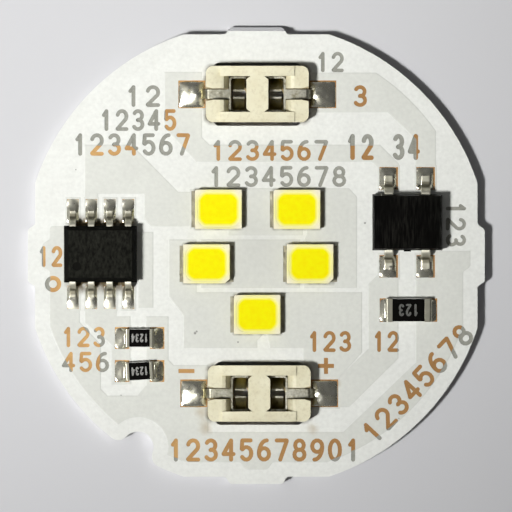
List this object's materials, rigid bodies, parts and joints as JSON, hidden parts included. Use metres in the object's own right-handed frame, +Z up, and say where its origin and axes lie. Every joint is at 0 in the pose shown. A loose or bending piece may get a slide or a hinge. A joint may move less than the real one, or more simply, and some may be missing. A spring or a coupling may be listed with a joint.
{
  "type": "led board",
  "caption": "Round white aluminium-core LED board for mains lamps, with LEDs, a linear driver, a bridge rectifier, chip resistors and bottom-entry connectors.",
  "frame": {"origin": "middle of the board's back face, which is the middle of the part's underside", "axes": "+Z up through the board to the LEDs; +Y towards the mains connector; +X towards the rectifier"},
  "size_m": [0.0314, 0.0314, 0.0027],
  "materials": {
    "aluminium": "satin",
    "insulation": "matte",
    "copper": "satin",
    "white_mask": "satin",
    "connector_plastic": "satin",
    "contact_metal": "bright tin",
    "solder": "bright",
    "driver_moulding": "matte",
    "rectifier_moulding": "satin",
    "lead_metal": "tinned",
    "alumina": "matte",
    "resistor_cover": "gloss",
    "led_plastic": "satin",
    "led_chip": "gloss",
    "phosphor": "satin"
  },
  "bodies": {
    "root": {"aluminium_plate": "aluminium", "insulating_layer": "insulation", "copper_tracks": "copper", "solder_mask": "white_mask", "mains_housing": "connector_plastic", "live_contact": "contact_metal", "neutral_contact": "contact_metal", "mains_solder": "solder", "capacitor_housing": "connector_plastic", "minus_contact": "contact_metal", "plus_contact": "contact_metal", "capacitor_solder": "solder", "driver_body": "driver_moulding", "driver_leads": "lead_metal", "driver_heat_pad": "lead_metal", "driver_solder": "solder", "rectifier_body": "rectifier_moulding", "rectifier_leads": "lead_metal", "rectifier_solder": "solder", "bleed_resistor_ceramic": "alumina", "bleed_resistor_cover": "resistor_cover", "bleed_resistor_caps": "lead_metal", "bleed_resistor_solder": "solder", "sense_resistor_1_ceramic": "alumina", "sense_resistor_1_cover": "resistor_cover", "sense_resistor_1_caps": "lead_metal", "sense_resistor_1_solder": "solder", "sense_resistor_2_ceramic": "alumina", "sense_resistor_2_cover": "resistor_cover", "sense_resistor_2_caps": "lead_metal", "sense_resistor_2_solder": "solder", "led_1_housing": "led_plastic", "led_1_frame": "lead_metal", "led_1_chip": "led_chip", "led_1_phosphor": "phosphor", "led_1_solder": "solder", "led_2_housing": "led_plastic", "led_2_frame": "lead_metal", "led_2_chip": "led_chip", "led_2_phosphor": "phosphor", "led_2_solder": "solder", "led_3_housing": "led_plastic", "led_3_frame": "lead_metal", "led_3_chip": "led_chip", "led_3_phosphor": "phosphor", "led_3_solder": "solder", "led_4_housing": "led_plastic", "led_4_frame": "lead_metal", "led_4_chip": "led_chip", "led_4_phosphor": "phosphor", "led_4_solder": "solder", "led_5_housing": "led_plastic", "led_5_frame": "lead_metal", "led_5_chip": "led_chip", "led_5_phosphor": "phosphor", "led_5_solder": "solder"}
  },
  "joints": []
}
